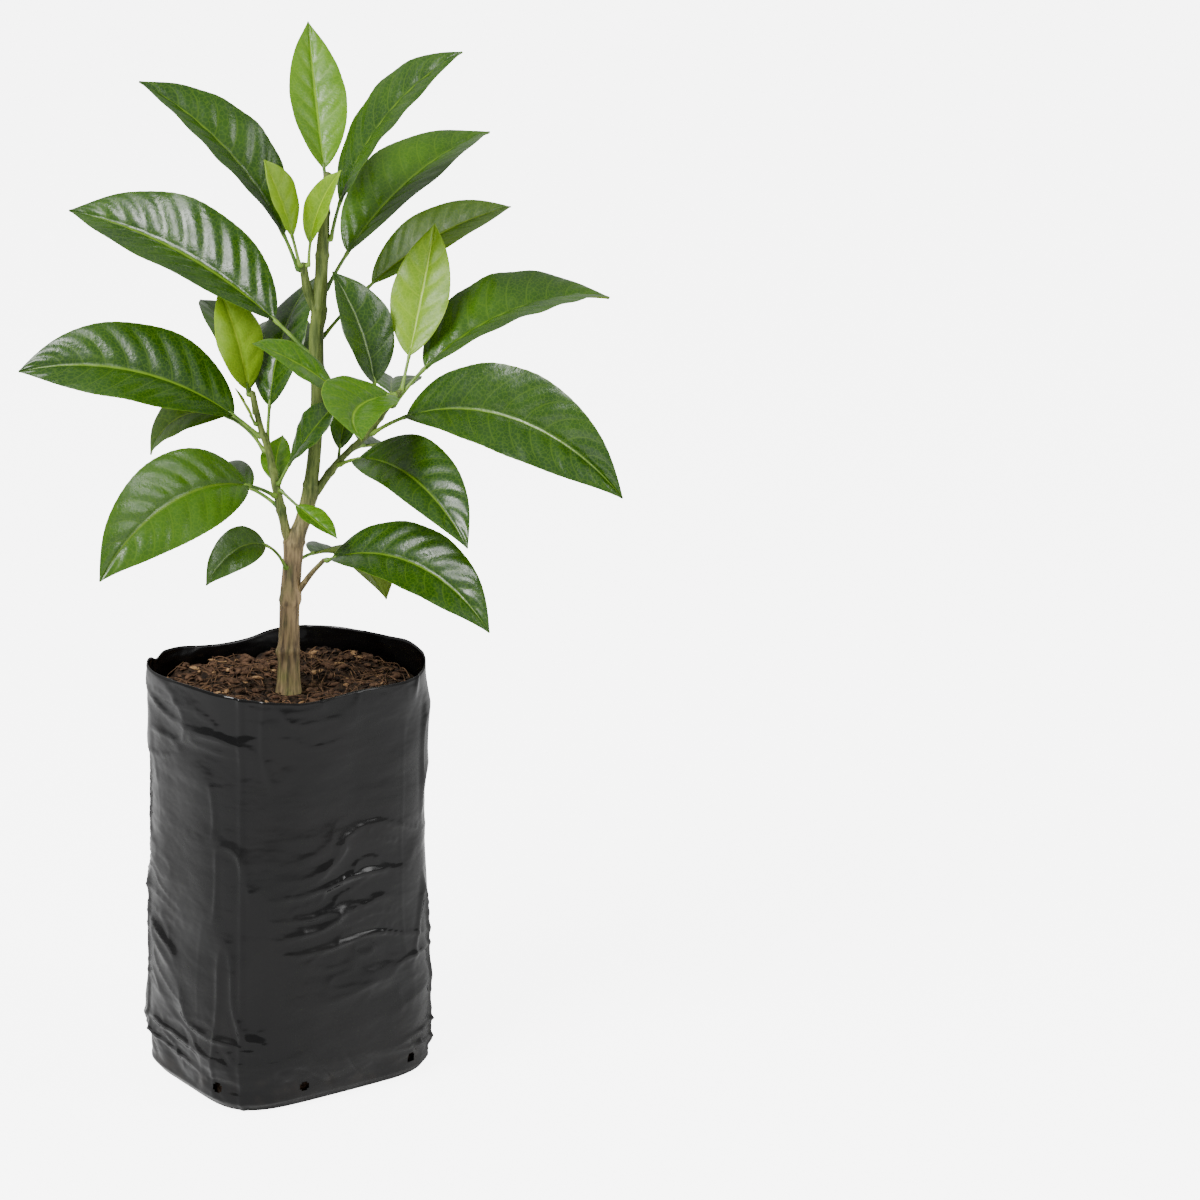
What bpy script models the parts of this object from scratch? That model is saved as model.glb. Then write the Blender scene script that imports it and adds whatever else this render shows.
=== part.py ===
"""A young sweet orange tree in a black film nursery bag of potting mix.

Metres, +Z up. The origin is at the middle of the bag's flat underside. +X is the viewer's right and
-Y is towards the viewer.
"""

import math
from collections import namedtuple

import bmesh
import bpy
import numpy as np

MM = 0.001
SEAT = 0.3 * MM
LEAF_SEAT = 0.42 * MM

# Bag: half-lengths of its plan at each height, and how square the plan is (2 is an ellipse).
BAG_TURN = math.radians(32)
BAG_WALL = 1.0 * MM
BAG_SIDES = 40
BagLevel = namedtuple("BagLevel", "height half_long half_short squareness")
BAG_LEVELS = (
    BagLevel(0 * MM, 51 * MM, 41.5 * MM, 4.6),
    BagLevel(4 * MM, 54.5 * MM, 45 * MM, 4.2),
    BagLevel(18 * MM, 57 * MM, 48 * MM, 3.5),
    BagLevel(60 * MM, 57.5 * MM, 48.5 * MM, 3.2),
    BagLevel(115 * MM, 57 * MM, 48.5 * MM, 3.0),
    BagLevel(155 * MM, 57 * MM, 49.5 * MM, 2.9),
    BagLevel(180 * MM, 58 * MM, 51.5 * MM, 2.7),
)
RIM_WAVE = 1.5 * MM
HOLE_RADIUS = 2.2 * MM
HOLE_HEIGHT = 9 * MM
LONG_SIDE_HOLES = (-21 * MM, 34 * MM)
SHORT_SIDE_HOLES = (26 * MM,)

# Potting mix
MIX_INSET = BAG_WALL + 0.7 * MM
MIX_LEVEL = 166.7 * MM
MIX_RINGS = 5
MIX_FLAT_RADIUS = 9 * MM
MIX_BUMP = 1.8 * MM
MIX_MOUND = 3.0 * MM

# Stems: places in millimetres with the radius there, from foot to tip.
STEM_STATIONS = {
    "trunk": (
        (-0.4, 0, 167, 5.6),
        (-0.4, 0, 176, 4.8),
        (-0.2, 0, 206, 4.2),
        (2.0, 0, 231, 3.9),
        (6.2, 0.5, 244, 3.4),
        (9.3, 1, 262, 3.0),
        (11.3, 2, 290, 2.7),
        (10.8, 2, 318, 2.9),
        (12.6, 2, 342, 2.8),
        (14.0, 3, 368, 2.2),
        (15.2, 5, 386, 1.5),
    ),
    "left_bough": (
        (0.5, 0, 230, 2.2),
        (-3.0, 0, 243, 1.9),
        (-6.2, 2, 258, 1.8),
        (-8.9, 4.5, 270, 1.6),
        (-12.6, 7, 281, 1.4),
        (-15.7, 11, 294, 1.1),
    ),
    "right_bough": (
        (10.0, 1.5, 252, 2.3),
        (19.8, -1, 266.4, 2.0),
        (31.2, -5, 278.8, 1.9),
        (38.9, -8, 290, 1.6),
        (44.9, -10, 298.8, 1.3),
    ),
    "top_shoot": (
        (11.2, 2, 328, 2.3),
        (6.9, 0.5, 339, 2.0),
        (5.3, -2, 350, 1.6),
    ),
    "low_twig": (
        (2.5, 0, 209.5, 1.6),
        (8.3, -4, 219, 1.4),
        (14.9, -8, 227.2, 1.2),
    ),
}
STEM_SPAN_STEPS = 3

# Leaves: where each petiole leaves its stem, its heading there, how the midrib bends on its way out,
# and the size, tilt and fold of the blade. Millimetres and degrees. Azimuth 0 is +X and 90 is +Y.
Leaf = namedtuple("Leaf", "height azimuth rise droop sweep petiole length width roll twist fold")
LEAVES = {
    "trunk": (
        Leaf(222, 235, 60, 114, -8, 19, 41, 18, 55, 6, 21),
        Leaf(311, 156, 43, 38, -7, 20, 106, 50, 28, 4, 34),
        Leaf(318, 40, 41, 38, 3, 33, 86, 26, -31, -2, 34),
        Leaf(338, 40, 55, 45, 0, 18, 92, 41, -7, -3, 28),
        Leaf(359, 340, 80, 50, 0, 16, 83, 37, -37, 1, 18),
        Leaf(382, 100, 50, -6, -2, 6, 69, 27, -5, 2, 28),
        Leaf(223, 60, 8, 66, -12, 12, 66, 32, 6, 4, 24),
        Leaf(296, 108, 30, 58, 6, 18, 84, 32, 4, 6, 26),
    ),
    "left_bough": (
        Leaf(247, 128, 20, 70, 8, 18, 78, 36, 8, -4, 24),
        Leaf(252, 228, 31, 85, -8, 17, 90, 39, 49, 13, 21),
        Leaf(254, 315, -28, -6, 2, 10, 25, 13, -11, 3, 26),
        Leaf(255, 95, 39, 13, -22, 2, 28, 14, 7, 0, 24),
        Leaf(257, 305, 56, 6, 47, 11, 37, 22, -38, -16, 19),
        Leaf(273, 75, 86, 64, -18, 15, 66, 28, 20, 0, 10),
        Leaf(270, 158, 60, 135, -3, 22, 44, 23, 43, 2, 19),
        Leaf(276, 172, 42, 56, 6, 13, 93, 46, 30, 21, 24),
        Leaf(281, 215, 60, -1, -20, 2, 16, 6, 16, 0, 25),
        Leaf(285, 120, 72, 69, -5, 10, 58, 24, 0, -3, 27),
        Leaf(292.5, 175, 84, 19, -7, 2, 44, 24, 40, 8, 16),
    ),
    "right_bough": (
        Leaf(270, 68, 4, 56, -8, 18, 78, 36, -6, 4, 25),
        Leaf(266, 82, 49, 29, -7, 6, 31, 13, -11, 0, 25),
        Leaf(266, 300, 25, 71, 6, 15, 83, 36, -25, 5, 29),
        Leaf(280, 322, 35, 82, 10, 19, 109, 44, -39, -30, 33),
        Leaf(284, 203, 50, 30, 10, 23, 44, 22, 44, -18, 14),
        Leaf(289, 160, 86, 30, 4, 12, 49, 31, 26, 3, 26),
        Leaf(294, 90, 8, 23, -5, 9, 55, 27, -8, 0, 22),
        Leaf(292, 15, 54, 65, 13, 20, 92, 48, -11, 0, 25),
        Leaf(298.3, 62, 62, 2, 8, 15, 58, 26, -10, 4, 20),
        Leaf(297, 228, 4, 15, 60, 2, 70, 35, 21, -18, 30),
    ),
    "top_shoot": (
        Leaf(347, 172, 71, 45, -6, 15, 86, 39, 20, 8, 30),
        Leaf(349, 230, 72, 12, -10, 13, 36, 20, 70, 9, 24),
        Leaf(349, 330, 90, 40, 6, 9, 34, 14, -70, -4, 24),
    ),
    "low_twig": (Leaf(226.5, 322, 26, 76, 0, 2, 88, 35, -31, -12, 26),),
}
BLADE_THICKNESS = 0.9 * MM
BLADE_CAMBER = 0.12
PETIOLE_HALF_WIDTH = 1.0 * MM
TIP_HALF_WIDTH = 0.45 * MM
BLADE_STEPS = 7
SMALL_BLADE = 45
PATH_STEPS = 48

LEAF_COLOUR = (0.035, 0.13, 0.02)
YOUNG_LEAF_COLOUR = (0.14, 0.33, 0.02)
YOUNG_LEAVES = {"left_bough_leaf_11", "right_bough_leaf_9", "top_shoot_leaf_2", "top_shoot_leaf_3"}


def material(name, colour, roughness):
    made = bpy.data.materials.new(name)
    made.use_nodes = True
    shader = made.node_tree.nodes["Principled BSDF"]
    shader.inputs["Base Color"].default_value = (*colour, 1)
    shader.inputs["Roughness"].default_value = roughness
    shader.inputs["Metallic"].default_value = 0
    return made


def add_object(name, mesh, collection, finish=None):
    made = bpy.data.objects.new(name, mesh)
    if finish:
        made.data.materials.append(finish)
    collection.objects.link(made)
    return made


def cut(target, cutter):
    """Takes the cutter's shape out of the target, and hides the cutter."""
    modifier = target.modifiers.new("cut_by_" + cutter.name, "BOOLEAN")
    modifier.operation = "DIFFERENCE"
    modifier.solver = "EXACT"
    modifier.object = cutter
    cutter.hide_render = True
    cutter.display_type = "WIRE"


def ease(value):
    """0 to 1 with a soft start and end."""
    value = min(max(value, 0.0), 1.0)
    return value * value * (3 - 2 * value)


# Bag and potting mix


def plan_radius(angle, height, inset=0.0):
    """Distance from the axis to the bag's outer face, at a compass angle and a height."""
    heights = [level.height for level in BAG_LEVELS]
    a, b, n = (
        np.interp(height, heights, [getattr(level, key) for level in BAG_LEVELS])
        for key in ("half_long", "half_short", "squareness")
    )
    across, along = math.cos(angle - BAG_TURN), math.sin(angle - BAG_TURN)
    return (abs(across / (a - inset)) ** n + abs(along / (b - inset)) ** n) ** (-1 / n)


def rim_wave(angle):
    return RIM_WAVE * (math.sin(2 * angle + 0.6) + 0.6 * math.sin(5 * angle))


def mix_top(x, y):
    """Height of the potting mix, flat under the trunk and heaped a little at the back."""
    reach = math.hypot(x, y)
    away = ease((reach - MIX_FLAT_RADIUS) / (14 * MM))
    waves = math.sin(210 * x + 1.1) * math.cos(170 * y) + 0.6 * math.sin(330 * y + 260 * x)
    return MIX_LEVEL + away * (MIX_BUMP * waves + MIX_MOUND * ease(0.5 + (y - 0.4 * x) / (90 * MM)))


def drum(name, levels, rings):
    """A closed drum of radius 1 and height 1, with its wall in levels and its ends in rings."""
    bm = bmesh.new()
    bmesh.ops.create_cone(
        bm, cap_ends=True, cap_tris=rings > 0, segments=BAG_SIDES, radius1=1, radius2=1, depth=1
    )
    upright = [e for e in bm.edges if abs(e.verts[0].co.z - e.verts[1].co.z) > 0.5]
    bmesh.ops.subdivide_edges(bm, edges=upright, cuts=levels - 1, use_grid_fill=True)
    if rings:
        spokes = [e for e in bm.edges if min(v.co.xy.length for v in e.verts) < 0.01 and e.verts[0].co.z > 0]
        bmesh.ops.subdivide_edges(bm, edges=spokes, cuts=rings - 1, use_grid_fill=True)
    mesh = bpy.data.meshes.new(name)
    bm.to_mesh(mesh)
    bm.free()
    return mesh


def make_bag(collection, cutters):
    mesh = drum("nursery_bag", len(BAG_LEVELS) - 1, 0)
    bm = bmesh.new()
    bm.from_mesh(mesh)
    lids = [f for f in bm.faces if f.normal.z > 0.5]
    bmesh.ops.delete(bm, geom=lids, context="FACES_ONLY")
    for vert in bm.verts:
        angle = math.atan2(vert.co.y, vert.co.x)
        level = BAG_LEVELS[round((vert.co.z + 0.5) * (len(BAG_LEVELS) - 1))]
        reach = plan_radius(angle, level.height)
        lift = rim_wave(angle) if level is BAG_LEVELS[-1] else 0.0
        vert.co = (reach * math.cos(angle), reach * math.sin(angle), level.height + lift)
    bm.to_mesh(mesh)
    bm.free()
    bag = add_object("nursery_bag", mesh, collection, material("black_film", (0.012, 0.013, 0.015), 0.35))
    shell = bag.modifiers.new("film", "SOLIDIFY")
    shell.thickness = BAG_WALL
    shell.offset = -1
    shell.use_even_offset = True
    cut(bag, make_hole_cutter(cutters))
    return bag


def make_hole_cutter(collection):
    """Level pins through the long faces and the short faces, which punch the drain holes."""
    bm = bmesh.new()
    sides = (
        (BAG_TURN - math.pi / 2, LONG_SIDE_HOLES, BAG_LEVELS[1].half_short),
        (BAG_TURN, SHORT_SIDE_HOLES, BAG_LEVELS[1].half_long),
    )
    for facing, offsets, reach in sides:
        for turn in (0, math.pi):
            out = np.array((math.cos(facing + turn), math.sin(facing + turn), 0))
            along = np.array((-out[1], out[0], 0))
            for offset in offsets:
                made = bmesh.ops.create_cone(
                    bm, cap_ends=True, segments=10, radius1=HOLE_RADIUS, radius2=HOLE_RADIUS, depth=12 * MM
                )
                centre = out * reach + along * offset + np.array((0, 0, HOLE_HEIGHT))
                for vert in made["verts"]:
                    x, y, z = vert.co
                    vert.co = centre + along * x + np.array((0, 0, y)) + out * z
    bmesh.ops.recalc_face_normals(bm, faces=bm.faces)
    mesh = bpy.data.meshes.new("drain_hole_pins")
    bm.to_mesh(mesh)
    bm.free()
    return add_object("drain_hole_pins", mesh, collection)


def make_mix(collection):
    levels = len(BAG_LEVELS) - 2
    mesh = drum("potting_mix", levels, MIX_RINGS)
    for vert in mesh.vertices:
        angle = math.atan2(vert.co.y, vert.co.x)
        level = round((vert.co.z + 0.5) * levels)
        top = level == levels
        height = MIX_LEVEL if top else BAG_LEVELS[level].height
        reach = plan_radius(angle, height, MIX_INSET) * vert.co.xy.length
        x, y = reach * math.cos(angle), reach * math.sin(angle)
        if top:
            height = mix_top(x, y)
        elif level == 0:
            height = BAG_WALL + SEAT
        vert.co = (x, y, height)
    return add_object("potting_mix", mesh, collection, material("bark_and_coir", (0.05, 0.03, 0.02), 0.95))


# Stems


def smooth_path(stations):
    """Rows of x, y, z, radius in metres on a smooth curve through the stations."""
    rows = np.array(stations, float) * MM
    rows = np.vstack([2 * rows[0] - rows[1], rows, 2 * rows[-1] - rows[-2]])
    path = []
    for i in range(1, len(rows) - 2):
        before, here, there, after = rows[i - 1 : i + 3]
        for step in range(STEM_SPAN_STEPS):
            t = step / STEM_SPAN_STEPS
            path.append(
                here
                + 0.5 * t * (there - before)
                + t * t * (before - 2.5 * here + 2 * there - 0.5 * after)
                + 0.5 * t**3 * (3 * here - before - 3 * there + after)
            )
    path.append(rows[-2])
    return np.array(path)


def make_tube(name, path, collection, finish=None, grown=0.0):
    """A tapering round limb along a path, as a mesh with its ends closed."""
    curve = bpy.data.curves.new(name, "CURVE")
    curve.dimensions = "3D"
    curve.bevel_depth = MM
    curve.bevel_resolution = 2
    curve.use_fill_caps = True
    spline = curve.splines.new("POLY")
    spline.points.add(len(path) - 1)
    for point, (x, y, z, radius) in zip(spline.points, path):
        point.co = (x, y, z, 1)
        point.radius = (radius + grown) / MM
    guide = bpy.data.objects.new(name + "_guide", curve)
    collection.objects.link(guide)
    bpy.context.view_layer.update()
    mesh = bpy.data.meshes.new_from_object(guide.evaluated_get(bpy.context.evaluated_depsgraph_get()))
    bpy.data.objects.remove(guide)
    bm = bmesh.new()
    bm.from_mesh(mesh)
    bmesh.ops.remove_doubles(bm, verts=bm.verts, dist=0.001 * MM)
    bmesh.ops.recalc_face_normals(bm, faces=bm.faces)
    bm.to_mesh(mesh)
    bm.free()
    mesh.materials.clear()
    mesh.shade_smooth()
    mesh.name = name
    return add_object(name, mesh, collection, finish)


def make_stems(collection, cutters):
    """The trunk from its level foot to its tip, and the boughs cut to sit against it."""
    paths = {name: smooth_path(stations) for name, stations in STEM_STATIONS.items()}
    trunk = paths["trunk"]
    trunk[1, :2] = trunk[0, :2]
    bark = material("young_bark", (0.22, 0.19, 0.09), 0.7)
    green = material("green_bark", (0.07, 0.16, 0.02), 0.5)
    around = {name: make_tube("around_" + name, path, cutters, grown=SEAT) for name, path in paths.items()}
    make_tube("trunk", trunk, collection, bark)
    for name in list(paths)[1:]:
        cut(make_tube(name, paths[name], collection, green), around["trunk"])
    return paths, around


# Leaves


def blade_half_width(fraction, width):
    """Half the blade's width at a fraction of its length: broadest before the middle, with a drawn-out tip."""
    full = math.sin(math.pi * fraction**0.86) ** 0.8 if 0 < fraction < 1 else 0.0
    drawn_out = max(fraction - 0.78, 0) / 0.22
    return width / 2 * full * (1 - 0.35 * drawn_out**2)


def leaf_foot(path, leaf):
    """Where a petiole starts, just clear of the stem's bark."""
    x, y, radius = (np.interp(leaf.height * MM, path[:, 2], path[:, i]) for i in (0, 1, 3))
    heading = math.radians(leaf.azimuth)
    reach = radius + LEAF_SEAT + BLADE_THICKNESS / 2 * abs(math.sin(math.radians(leaf.rise)))
    return np.array((x + reach * math.cos(heading), y + reach * math.sin(heading), leaf.height * MM))


def leaf_frames(leaf, foot, distances):
    """Centreline points with the across and upward directions, at distances along petiole and midrib."""
    total = (leaf.petiole + leaf.length) * MM
    middles = (np.arange(PATH_STEPS) + 0.5) / PATH_STEPS
    rise, azimuth = leaf_headings(leaf, middles)
    steps = np.stack([np.cos(azimuth) * np.cos(rise), np.sin(azimuth) * np.cos(rise), np.sin(rise)], 1)
    walked = np.vstack([foot, foot + np.cumsum(steps * total / PATH_STEPS, 0)])
    marks = np.linspace(0, total, PATH_STEPS + 1)
    centres = np.stack([np.interp(distances, marks, walked[:, i]) for i in range(3)], 1)
    rise, azimuth = leaf_headings(leaf, distances / total)
    ahead = np.stack([np.cos(azimuth) * np.cos(rise), np.sin(azimuth) * np.cos(rise), np.sin(rise)], 1)
    level = np.stack([np.sin(azimuth), -np.cos(azimuth), np.zeros_like(azimuth)], 1)
    upright = np.cross(level, ahead)
    along = np.clip((distances / MM - leaf.petiole) / leaf.length, 0, 1)
    roll = np.radians(leaf.roll + leaf.twist * along)[:, None]
    across = level * np.cos(roll) + upright * np.sin(roll)
    upward = upright * np.cos(roll) - level * np.sin(roll)
    return centres, across, upward


def leaf_headings(leaf, fractions):
    return np.radians(leaf.rise - leaf.droop * fractions), np.radians(leaf.azimuth + leaf.sweep * fractions)


def make_leaf(name, leaf, path, around_stem, collection, finish):
    """One blade with its petiole, as a folded strip given a thickness."""
    petiole, length = leaf.petiole * MM, leaf.length * MM
    blade_fractions = np.arange(1, BLADE_STEPS + 1) / BLADE_STEPS
    distances = np.concatenate([(0.0, petiole), petiole + blade_fractions * length])
    halves = [PETIOLE_HALF_WIDTH] * 2 + [
        max(blade_half_width(fraction, leaf.width * MM), TIP_HALF_WIDTH) for fraction in blade_fractions
    ]
    centres, across, upward = leaf_frames(leaf, leaf_foot(path, leaf), distances)
    fold = math.radians(leaf.fold)
    strips = 2 if leaf.length < SMALL_BLADE else 4
    bm = bmesh.new()
    bmesh.ops.create_grid(bm, x_segments=len(distances) - 1, y_segments=strips, size=1)
    for vert in bm.verts:
        row = round((vert.co.x + 1) / 2 * (len(distances) - 1))
        side = -vert.co.y
        out = across[row] * side * math.cos(fold)
        lift = upward[row] * (abs(side) * math.sin(fold) - BLADE_CAMBER * side * side)
        vert.co = centres[row] + (out + lift) * halves[row]
    mesh = bpy.data.meshes.new(name)
    bm.to_mesh(mesh)
    bm.free()
    made = add_object(name, mesh, collection, finish)
    thickness = made.modifiers.new("blade", "SOLIDIFY")
    thickness.thickness = BLADE_THICKNESS
    thickness.offset = 0
    cut(made, around_stem)


def main():
    for old in list(bpy.data.objects):
        bpy.data.objects.remove(old)
    parts = bpy.data.collections.new("potted_orange_sapling")
    cutters = bpy.data.collections.new("cutters")
    for collection in (parts, cutters):
        bpy.context.scene.collection.children.link(collection)
    make_bag(parts, cutters)
    make_mix(parts)
    paths, around = make_stems(parts, cutters)
    for stem, leaves in LEAVES.items():
        for number, leaf in enumerate(leaves, 1):
            name = f"{stem}_leaf_{number}"
            colour = YOUNG_LEAF_COLOUR if name in YOUNG_LEAVES else LEAF_COLOUR
            make_leaf(name, leaf, paths[stem], around[stem], parts, material(name, colour, 0.35))


main()
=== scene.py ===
# %% [markdown]
# # A young sweet orange tree in a film nursery bag
#
# This lesson dresses a packed model of a potted sapling. The frame holds plain solids: a bag, its potting
# mix, a trunk, four side stems and thin blades for leaves. Here each gets the surface of the real thing, and
# the frame keeps every piece at its true place and size. Lengths are in metres and +Z is up.

# %% Load the frame
import math
from collections import namedtuple

import bpy
import numpy as np
from mathutils import Matrix, Vector


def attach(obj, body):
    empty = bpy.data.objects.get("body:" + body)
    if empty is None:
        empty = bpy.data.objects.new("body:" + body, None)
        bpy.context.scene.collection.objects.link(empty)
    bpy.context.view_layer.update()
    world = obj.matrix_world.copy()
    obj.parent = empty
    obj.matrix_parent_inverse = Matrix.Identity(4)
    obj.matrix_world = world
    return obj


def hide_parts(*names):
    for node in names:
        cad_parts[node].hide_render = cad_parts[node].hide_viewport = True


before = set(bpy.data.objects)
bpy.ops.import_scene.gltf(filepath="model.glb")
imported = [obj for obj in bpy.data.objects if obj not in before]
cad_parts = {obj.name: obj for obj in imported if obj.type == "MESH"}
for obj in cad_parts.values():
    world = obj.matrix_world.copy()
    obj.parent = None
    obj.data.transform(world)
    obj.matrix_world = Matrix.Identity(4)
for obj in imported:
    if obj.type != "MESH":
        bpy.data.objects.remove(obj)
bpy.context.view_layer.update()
MM = 0.001

# %% [markdown]
# ## One helper for every grown surface
#
# A leaf, a twig and the bag are all sheets: rows of points that run along the piece, and columns across or
# around it. Blender could loft them with curves, but a grid of points worked out by a formula gives full
# control of veins and wrinkles. The helper turns any number of such grids into one mesh. It also lays each
# grid in its own cell of a UV map, so a baked pattern never falls on two leaves at once, and it keeps a
# second map that runs from 0 to 1 along and across every grid, for patterns that follow the growth. A sheet
# with wrap closes round, and one with flip turns its faces over.

# %% Grids of points become a mesh
Sheet = namedtuple("Sheet", "points wrap flip finish tone")
CELL_FILL = 0.96
PLAIN_TONE = 0.5


def sheet_faces(sheet, first_vertex):
    """Corner numbers of each face, with the row and column of each corner."""
    rows, columns = sheet.points.shape[:2]
    across = columns if sheet.wrap else columns - 1
    row, column = np.meshgrid(np.arange(rows - 1), np.arange(across), indexing="ij")
    row, column = row.ravel(), column.ravel()
    corner_rows = np.stack([row, row, row + 1, row + 1], 1)
    corner_columns = np.stack([column, column + 1, column + 1, column], 1)
    if sheet.flip:
        corner_rows, corner_columns = corner_rows[:, ::-1], corner_columns[:, ::-1]
    corners = first_vertex + corner_rows * columns + corner_columns % columns
    return corners, corner_rows / (rows - 1), corner_columns / across


def mesh_from_sheets(name, sheets, finishes, keep=None):
    """One object from many sheets. keep may drop faces, given the middle of each."""
    cells = math.ceil(math.sqrt(len(sheets)))
    corners, along, across, cell_x, cell_y, finish, tone = [], [], [], [], [], [], []
    first = 0
    for number, sheet in enumerate(sheets):
        faces, rows, columns = sheet_faces(sheet, first)
        first += sheet.points.shape[0] * sheet.points.shape[1]
        corners.append(faces)
        along.append(rows)
        across.append(columns)
        cell_x.append((number % cells + 0.5 + (columns - 0.5) * CELL_FILL) / cells)
        cell_y.append((number // cells + 0.5 + (rows - 0.5) * CELL_FILL) / cells)
        finish.append(np.full(len(faces), sheet.finish))
        tone.append(np.full(len(faces), sheet.tone))
    points = np.concatenate([sheet.points.reshape(-1, 3) for sheet in sheets])
    tables = [np.concatenate(table) for table in (corners, along, across, cell_x, cell_y, finish, tone)]
    if keep is not None:
        kept = keep(points[tables[0]].mean(1))
        tables = [table[kept] for table in tables]
    corners, along, across, cell_x, cell_y, finish, tone = tables
    mesh = bpy.data.meshes.new(name)
    mesh.vertices.add(len(points))
    mesh.vertices.foreach_set("co", points.ravel())
    mesh.loops.add(corners.size)
    mesh.loops.foreach_set("vertex_index", corners.ravel().astype(np.int32))
    mesh.polygons.add(len(corners))
    mesh.polygons.foreach_set("loop_start", np.arange(0, corners.size, 4, dtype=np.int32))
    mesh.update(calc_edges=True)
    for layer, u, v in (("OFBake", cell_x, cell_y), ("growth", along, across)):
        mesh.uv_layers.new(name=layer).data.foreach_set("uv", np.stack([u.ravel(), v.ravel()], 1).ravel())
    mesh.attributes.new("tone", "FLOAT", "FACE").data.foreach_set("value", tone.astype(np.float32))
    for material in finishes:
        mesh.materials.append(material)
    mesh.polygons.foreach_set("material_index", finish.astype(np.int32))
    mesh.shade_smooth()
    made = bpy.data.objects.new(name, mesh)
    bpy.context.scene.collection.objects.link(made)
    print(f"{name}: {len(sheets)} sheets, {len(corners)} faces")
    return made


def dress(piece, slot, *nodes):
    """Seats a piece in the frame: it rides on the one body and may stand for CAD nodes."""
    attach(piece, "root")
    if nodes:
        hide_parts(*nodes)


print("a sheet holds", Sheet._fields)

# %% [markdown]
# ## Noise that repeats around a ring
#
# Wrinkles and bark need noise in the shape itself, not only in the shading. Blender's own noise is called
# one point at a time, which is slow for a fine mesh, so this helper makes lattice noise for whole arrays.
# The lattice repeats around, which keeps a bag or a trunk free of a seam.

# %% Lattice noise
LATTICE_ROWS = 512


def lattice_noise(x, y, columns, seed):
    """Smooth noise from -1 to 1. It repeats each time that x grows by columns."""
    values = np.random.default_rng(seed).uniform(-1, 1, (LATTICE_ROWS, columns))
    x0, y0 = np.floor(x).astype(int), np.floor(y).astype(int)
    fx, fy = x - x0, y - y0
    fx, fy = fx * fx * (3 - 2 * fx), fy * fy * (3 - 2 * fy)
    here, right = x0 % columns, (x0 + 1) % columns
    low, high = y0 % LATTICE_ROWS, (y0 + 1) % LATTICE_ROWS
    below = values[low, here] * (1 - fx) + values[low, right] * fx
    above = values[high, here] * (1 - fx) + values[high, right] * fx
    return below * (1 - fy) + above * fy


def ridges(noise, narrowness=3.2, sharpness=1.6):
    """Turns smooth noise into narrow creases, 1 on the crease and 0 away from it."""
    return np.clip(1 - np.abs(noise) * narrowness, 0, 1) ** sharpness


def creases(noise, sharpness):
    """Sharp lines where the noise passes zero, with soft slopes between them."""
    return (1 - np.abs(noise)) ** sharpness


def bump_at(distance, width):
    """A round bump, 1 where the distance is none and nearly 0 past twice the width."""
    return np.exp(-((distance / width) ** 2))


def ease(value):
    """Runs from 0 to 1 with a soft start and end."""
    value = np.clip(value, 0, 1)
    return value * value * (3 - 2 * value)


print("noise at one place", lattice_noise(np.array([0.25]), np.array([0.5]), 7, 1).round(3))

# %% [markdown]
# ## Building materials in nodes
#
# Each finish starts from a Principled shader. A small builder adds the nodes and joins them, so a finish
# reads as a list of what it looks like. Values that are the same all over are set on the shader itself.

# %% Material builder


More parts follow.
